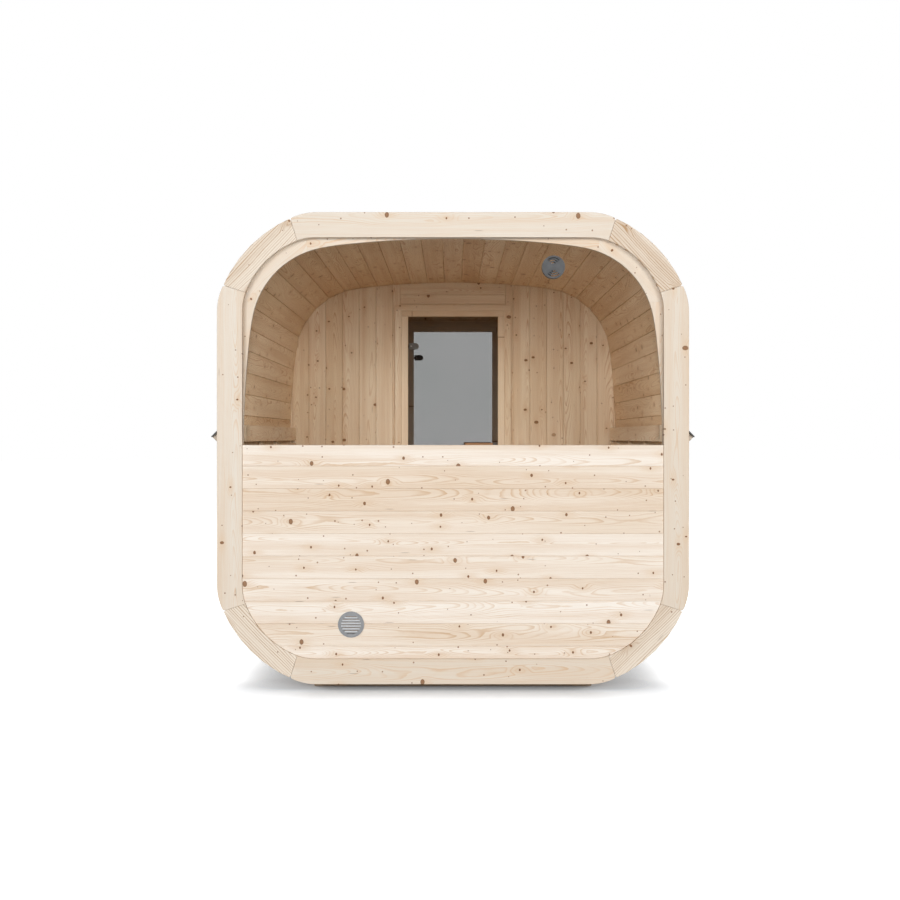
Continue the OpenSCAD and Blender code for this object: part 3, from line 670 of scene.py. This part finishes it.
def make_window_end_wall():
    """Boards laid level below the pane, thick enough to fill both the trims and the ring plate."""
    node = "window_end_wall"
    low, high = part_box(node)
    grille_low, grille_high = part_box("wall_vent_grille")
    vent = (grille_low + grille_high) / 2
    hole = (vent.x, vent.z)
    hole_r = 0.050
    hole_reach = 0.060
    top_joint = high.z - SILL_BOARD_W
    joint_count = 12
    joints = [top_joint - BOARD_W * i for i in range(joint_count)]
    vent_joint = min(joints, key=lambda j: abs(j - vent.z))
    ring_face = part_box("window_ring")[0].y
    boards = Timber()
    for side, y0, y1 in ((0, low.y, ring_face), (1, ring_face, high.y)):
        corners = [p for p in end_points(node, side) if math.dist(p, hole) > hole_reach]
        for part in strips(flat_outline(corners), 1, joints):
            z0 = min(p[1] for p in part)
            z1 = max(p[1] for p in part)
            near = 1e-4
            if abs(z0 - vent_joint) < near:
                part = notched(part, hole, hole_r, vent_joint, 1)
            elif abs(z1 - vent_joint) < near:
                part = notched(part, hole, hole_r, vent_joint, -1)
            boards.plank(part, seams_of(part, 1, joints), y0, y1, X)
    boards.make("window_end_wall_boards", spruce, [node])


def upright_joints(width, first):
    count = 8
    return [side * (first + width * i) for side in (-1, 1) for i in range(count)]


def make_inner_walls():
    """Upright boards beside each door, and boards laid level over it."""
    first_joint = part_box("partition_door_casing")[1].x + CASING_STRIP_W
    for wall in WALLS:
        outside = wall == "door_end_wall"
        for part in ("left", "right", "over_door"):
            node = f"{wall}_{part}"
            low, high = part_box(node)
            section = flat_outline(end_points(node, 0))
            boards = Timber()
            if part == "over_door":
                axis, joints, along = 1, OVER_DOOR_JOINTS, X
            else:
                axis, joints, along = 0, upright_joints(BOARD_W, first_joint), Z
            for strip in strips(section, axis, joints):
                boards.plank(strip, seams_of(strip, axis, joints), low.y, high.y, along,
                             gap=ROOM_GAP, depth=ROOM_DEPTH, normal=-Y if outside else Y)
            boards.make(f"{node}_boards", stave_spruce if outside else room_bounce_spruce, [node])


def make_rings():
    """Each ring plate as four straight and four corner boards, butted where the corners begin."""
    middle = (0.0, middle_z)
    rows = [[joint[0] for joint in stave_joints(node)] for node in STAVE_NODES]
    near = 1e-3
    for node in ("window_ring", "door_end_ring"):
        low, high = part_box(node)
        loop = [p for p in end_points(node, 0)
                if min(math.dist(p, q) for row in rows for q in row) > near]
        loop = by_angle(loop, middle)
        boards = Timber(tone=RING_TONE)
        for row in rows:
            first, last = (min(range(len(loop)), key=lambda i: math.dist(loop[i], end))
                           for end in (row[0], row[-1]))
            steps = (last - first) % len(loop)
            inner = [loop[(first + i) % len(loop)] for i in range(steps + 1)]
            section = [tuple(p) for p in row] + inner[::-1]
            ends = {len(row) - 1, len(section) - 1}
            chord = row[-1] - row[0]
            along = Vector((chord.x, 0, chord.y)).normalized()
            boards.plank(section, [i in ends for i in range(len(section))], low.y, high.y, along,
                         edge=RING_EDGE, gap=RING_GAP)
        boards.make(f"{node}_boards", ring_spruce, [node])


def islands(shell):
    """The separate solids of a mesh, each as a list of points."""
    left = set(shell.verts)
    found = []
    while left:
        start = left.pop()
        group = [start]
        queue = [start]
        while queue:
            for edge in queue.pop().link_edges:
                for v in edge.verts:
                    if v in left:
                        left.discard(v)
                        group.append(v)
                        queue.append(v)
        found.append(group)
    return sorted(found, key=lambda g: tuple(round(c, 4) for c in min(tuple(v.co) for v in g)))


def longest_side(points):
    """Grain direction and main face's normal of a board whose sides follow the axes."""
    spans = [max(p[i] for p in points) - min(p[i] for p in points) for i in range(3)]
    order = sorted(range(3), key=lambda i: spans[i])
    return (X, Y, Z)[order[2]], (X, Y, Z)[order[0]]


def corner_grain(points):
    """Grain direction of a corner board, square to the line from the middle."""
    centre = sum(points, Vector()) / len(points)
    side = -1 if centre.x * (centre.z - middle_z) > 0 else 1
    return Vector((1, 0, side)).normalized(), Y


def along_body(points):
    return Y, X


def from_cad(name, node, material, edge, grain=longest_side, body="cabin", pith=0.0):
    """A piece with the CAD node's own shape, whose solids are boards with a grain and soft edges."""
    shell = bmesh.new()
    shell.from_mesh(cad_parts[node].data)
    weld = 1e-5
    flat = math.radians(0.4)
    bmesh.ops.remove_doubles(shell, verts=shell.verts, dist=weld)
    bmesh.ops.dissolve_limit(shell, angle_limit=flat, verts=shell.verts, edges=shell.edges)
    boards = Timber(pith)
    for group in islands(shell):
        place_of = {v: i for i, v in enumerate(group)}
        faces = {f for v in group for f in v.link_faces}
        rings = sorted([place_of[v] for v in f.verts] for f in faces)
        points = [v.co.copy() for v in group]
        boards.add(points, rings, *grain(points))
    shell.free()
    return boards.make(name, material, [node], edge, body)


def make_trims():
    for end in ENDS:
        from_cad(f"{end}_trims", f"{end}_trim_boards", trim_spruce, TRIM_EDGE)
        from_cad(f"{end}_corner_boards", f"{end}_corner_trims", corner_spruce, TRIM_EDGE,
                 corner_grain, pith=CORNER_PITH)


def door_wood(door):
    return room_bounce_spruce if door == "partition_door" else spruce


def rectangle(x0, x1, z0, z1):
    return (x0, z0), (x1, z0), (x1, z1), (x0, z1)


def make_casings():
    """Two upright boards and one over them, on each face of a wall."""
    for door in DOORS:
        node = f"{door}_casing"
        points = node_points(node)
        low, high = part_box(node)
        faces = sorted({round(p.y, 4) for p in points})
        near = 1e-4
        boards = Timber()
        for y0, y1 in (faces[:2], faces[2:]):
            own = [p for p in points if y0 - near < p.y < y1 + near]
            inner_x = min(abs(p.x) for p in own)
            head_z = max(p.z for p in own if p.z < high.z - 10 * near)
            for side in (-1, 1):
                edges = sorted((side * inner_x, side * high.x))
                boards.prism(rectangle(*edges, low.z, head_z), y0, y1, Z)
            boards.prism(rectangle(low.x, high.x, head_z, high.z), y0, y1, X)
        boards.make(f"{node}_boards", door_wood(door), [node], FINE_EDGE)


def make_joinery():
    for door in DOORS:
        from_cad(f"{door}_frame_boards", f"{door}_frame", door_wood(door), FINE_EDGE)
        from_cad(f"{door}_handle_bars", f"{door}_handles", inner_wood, FINE_EDGE,
                 lambda points: (X, Y), f"{door}_leaf")
    from_cad("backrest_boards", "backrests", room_bounce_spruce, BOARD_EDGE, along_body)
    from_cad("window_rail_board", "window_rail", spruce, BOARD_EDGE)
    for side in SIDES:
        from_cad(f"{side}_eaves", f"{side}_eaves_board", trim_spruce, BOARD_EDGE, along_body)
    from_cad("cradle_beams", "base_beams", beam_wood, BOARD_EDGE)
    from_cad("joists", "floor_joists", spruce, BOARD_EDGE)


def make_floors():
    """Floor boards along the cabin in both rooms."""
    node = "room_floors"
    ends = sorted({round(p.y, 4) for p in node_points(node)})
    section = flat_outline(end_points(node, 0))
    joints = upright_joints(FLOOR_BOARD_W, FLOOR_BOARD_W / 2)
    boards = Timber()
    for y0, y1 in (ends[:2], ends[2:]):
        for strip in strips(section, 0, joints):
            gaps = [SEAM_GAP if seam else 0.0 for seam in seams_of(strip, 0, joints)]
            boards.prism(inset(strip, gaps), y0, y1, Y, Z)
    boards.make("floor_boards", room_bounce_spruce, [node], BOARD_EDGE)


def make_blades():
    """Rounded louvre blades on the grille, between its slots, in a lighter paint that is a painted
    highlight.
    """
    low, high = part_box("wall_vent_grille")
    middle = (low + high) / 2
    pitch = 0.0136
    reach = 0.049
    half_h = 0.0036
    proud = 0.0009
    steps = 6
    points = []
    faces = []
    for row in range(-3, 3):
        z = middle.z + (row + 0.5) * pitch
        half_l = math.sqrt(reach ** 2 - (abs(z - middle.z) + half_h) ** 2)
        first = len(points)
        for x in (middle.x - half_l, middle.x + half_l):
            for i in range(steps + 1):
                rise = math.pi * i / steps
                points.append((x, low.y - proud * math.sin(rise), z - half_h * math.cos(rise)))
        n = steps + 1
        faces.append([first + i for i in range(n)])
        faces.append([first + n + i for i in reversed(range(n))])
        faces.extend((first + i, first + n + i, first + n + (i + 1) % n, first + (i + 1) % n)
                     for i in range(n))
    mesh = solid_mesh("grille_blades", points, faces)
    finish_piece(mesh, "grille_blades", blade_paint_highlight, [])


def make_bolts():
    """A bright screw head on the front plate of each hinge clamp."""
    head_r = 0.0048
    proud = 0.0016
    inset_x = 0.014
    sides = 20
    for door in DOORS:
        points = []
        faces = []
        clamp_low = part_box(f"{door}_clamps")[0]
        x = clamp_low.x + CLAMP_STEP + inset_x
        for z in clamp_heights(f"{door}_clamps"):
            first = len(points)
            for depth, radius in ((0.0, head_r), (proud * 0.6, head_r), (proud, head_r * 0.7)):
                for i in range(sides):
                    angle = 2 * math.pi * i / sides
                    points.append((x + radius * math.cos(angle), clamp_low.y - depth,
                                   z + radius * math.sin(angle)))
            for row in (first, first + sides):
                faces.extend((row + i, row + (i + 1) % sides, row + (i + 1) % sides + sides,
                              row + i + sides) for i in range(sides))
            for row in (first, first + 2 * sides):
                faces.append([row + i for i in range(sides)])
        mesh = solid_mesh(f"{door}_screws", points, faces)
        finish_piece(mesh, f"{door}_screws", bright_steel, [], body=f"{door}_leaf")


def clamp_heights(node):
    """The middles of the hinge clamps, in height."""
    near = 1e-5
    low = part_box(node)[0]
    ends = sorted({round(p.z, 4) for p in node_points(node) if abs(p.x - low.x) < near})
    return [(ends[0] + ends[1]) / 2, (ends[-2] + ends[-1]) / 2]


def dress(node, material):
    """A better material on a CAD node that stays as it is."""
    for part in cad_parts[node].material_slots:
        part.material = material


def dress_cad():
    dress("roof_membrane", roof_sheet)
    dress("window_pane", clear_glass)
    dress("pane_vent_cover", vent_plastic)
    dress("pane_vent_dial", dial_plastic_painted_shade)
    dress("wall_vent_grille", grille_paint)
    for door in DOORS:
        dress(f"{door}_glass", grey_glass)
        dress(f"{door}_hinge_plates", hinge_steel)
        dress(f"{door}_clamps", hinge_steel)


# Camera, stage and light

CAMERA_PLACE = (0.0, -7.804, 1.235)
LENS = 50.0
SENSOR_W = 36.0
SHIFT = (-0.0033, -0.0144)
SKY = 0.085
FLOOR_R = 60.0
FLOOR_GREY = rgb(0.69, 0.72, 0.755)
# The floor's white glow grows with the way from the middle, so the floor near the cabin is left darker as
# painted shade: from and to, and how much there
LIFT_WITH_PAINTED_SHADE = (2.5, 9.0, 0.74, 0.98)
# How far the floor's glow is dimmed round what stands on it, and how deeply: a painted contact shadow
CONTACT_SHADOW_REACH = 0.30
CONTACT_SHADOW_DEPTH = 2.7


def make_camera():
    data = bpy.data.cameras.new("camera")
    data.lens = LENS
    data.sensor_width = SENSOR_W
    data.shift_x, data.shift_y = SHIFT
    camera = bpy.data.objects.new("camera", data)
    camera.location = CAMERA_PLACE
    camera.rotation_euler = (math.radians(90), 0, 0)
    bpy.context.scene.collection.objects.link(camera)
    bpy.context.scene.camera = camera


def background_ray(s):
    """1 for rays that show the background, straight or through glass."""
    path = s.add("ShaderNodeLightPath").outputs
    return s.math("MAXIMUM", path["Is Camera Ray"], path["Is Transmission Ray"])


def make_world():
    s = Shader(bpy.data.worlds.new("studio"))
    level = s.add("ShaderNodeMapRange", {"Value": background_ray(s), "To Min": SKY, "To Max": 1.0})
    light = s.add("ShaderNodeBackground", {"Color": rgb(1, 1, 1), "Strength": level.outputs[0]})
    s.add("ShaderNodeOutputWorld", {"Surface": light.outputs[0]})
    bpy.context.scene.world = s.owner


def floor_material():
    """Pale floor that reads white where nothing shades it; its glow is dimmed near the middle and round
    what stands on it, as painted shade and a painted contact shadow.
    """
    s = material_shader("studio_floor")
    matt = s.add("ShaderNodeBsdfDiffuse", {"Color": FLOOR_GREY}).outputs[0]
    x, y, _ = s.separate(place(s))
    # The glow is dimmer near the middle: painted shade round the cabin
    lift_and_painted_shadow = s.math("MULTIPLY", background_ray(s), s.smooth(s.length(x, y), *LIFT_WITH_PAINTED_SHADE))
    # The glow is dimmed where the floor is hemmed in: a painted contact shadow
    inputs = {"Distance": CONTACT_SHADOW_REACH}
    contact_occlusion = s.add("ShaderNodeAmbientOcclusion", inputs, samples=8).outputs["AO"]
    lift_and_painted_shadow = s.math("MULTIPLY", lift_and_painted_shadow, s.math("POWER", contact_occlusion, CONTACT_SHADOW_DEPTH))
    glow = s.add("ShaderNodeEmission", {"Color": rgb(1, 1, 1), "Strength": lift_and_painted_shadow}).outputs[0]
    return s.surface(s.add("ShaderNodeAddShader", {0: matt, 1: glow}).outputs[0])


def make_stage():
    mesh = bpy.data.meshes.new("studio_floor")
    rim = 96
    turn = 2 * math.pi / rim
    points = [(FLOOR_R * math.cos(i * turn), FLOOR_R * math.sin(i * turn), 0.0) for i in range(rim)]
    mesh.from_pydata(points, [], [tuple(range(rim))])
    mesh.materials.append(floor_material())
    floor = bpy.data.objects.new("studio_floor", mesh)
    bpy.context.scene.collection.objects.link(floor)


def make_lamp(name, place_at, aim, size, power):
    """A rectangular lamp that lights the scene and isn't itself seen."""
    data = bpy.data.lights.new(name, "AREA")
    data.shape = "RECTANGLE"
    data.size, data.size_y = size
    data.energy = power
    lamp = bpy.data.objects.new(name, data)
    lamp.visible_glossy = False
    lamp.visible_camera = False
    lamp.location = place_at
    lamp.rotation_euler = (Vector(aim) - Vector(place_at)).to_track_quat("-Z", "Y").to_euler()
    bpy.context.scene.collection.objects.link(lamp)


def make_lights():
    make_world()
    for name, side in SIDES.items():
        make_lamp(f"{name}_front_softbox", (4.5 * side, -13, 3.8), aim=(0, 0, 1.2),
                  size=(5.0, 3.5), power=715)
        make_lamp(f"{name}_back_softbox", (7 * side, 8, 4.5), aim=(0, 0, 1.0),
                  size=(5.0, 4.0), power=740)
    make_lamp("window_fill", (0, -1.5, 1.44), aim=(0, 0.4, 0.55), size=(1.8, 0.4), power=2.7)


make_camera()
make_staves()
make_window_end_wall()
make_inner_walls()
make_rings()
make_trims()
make_casings()
make_joinery()
make_floors()
make_blades()
make_bolts()
dress_cad()
make_stage()
make_lights()
bpy.context.scene.view_settings.view_transform = "Standard"
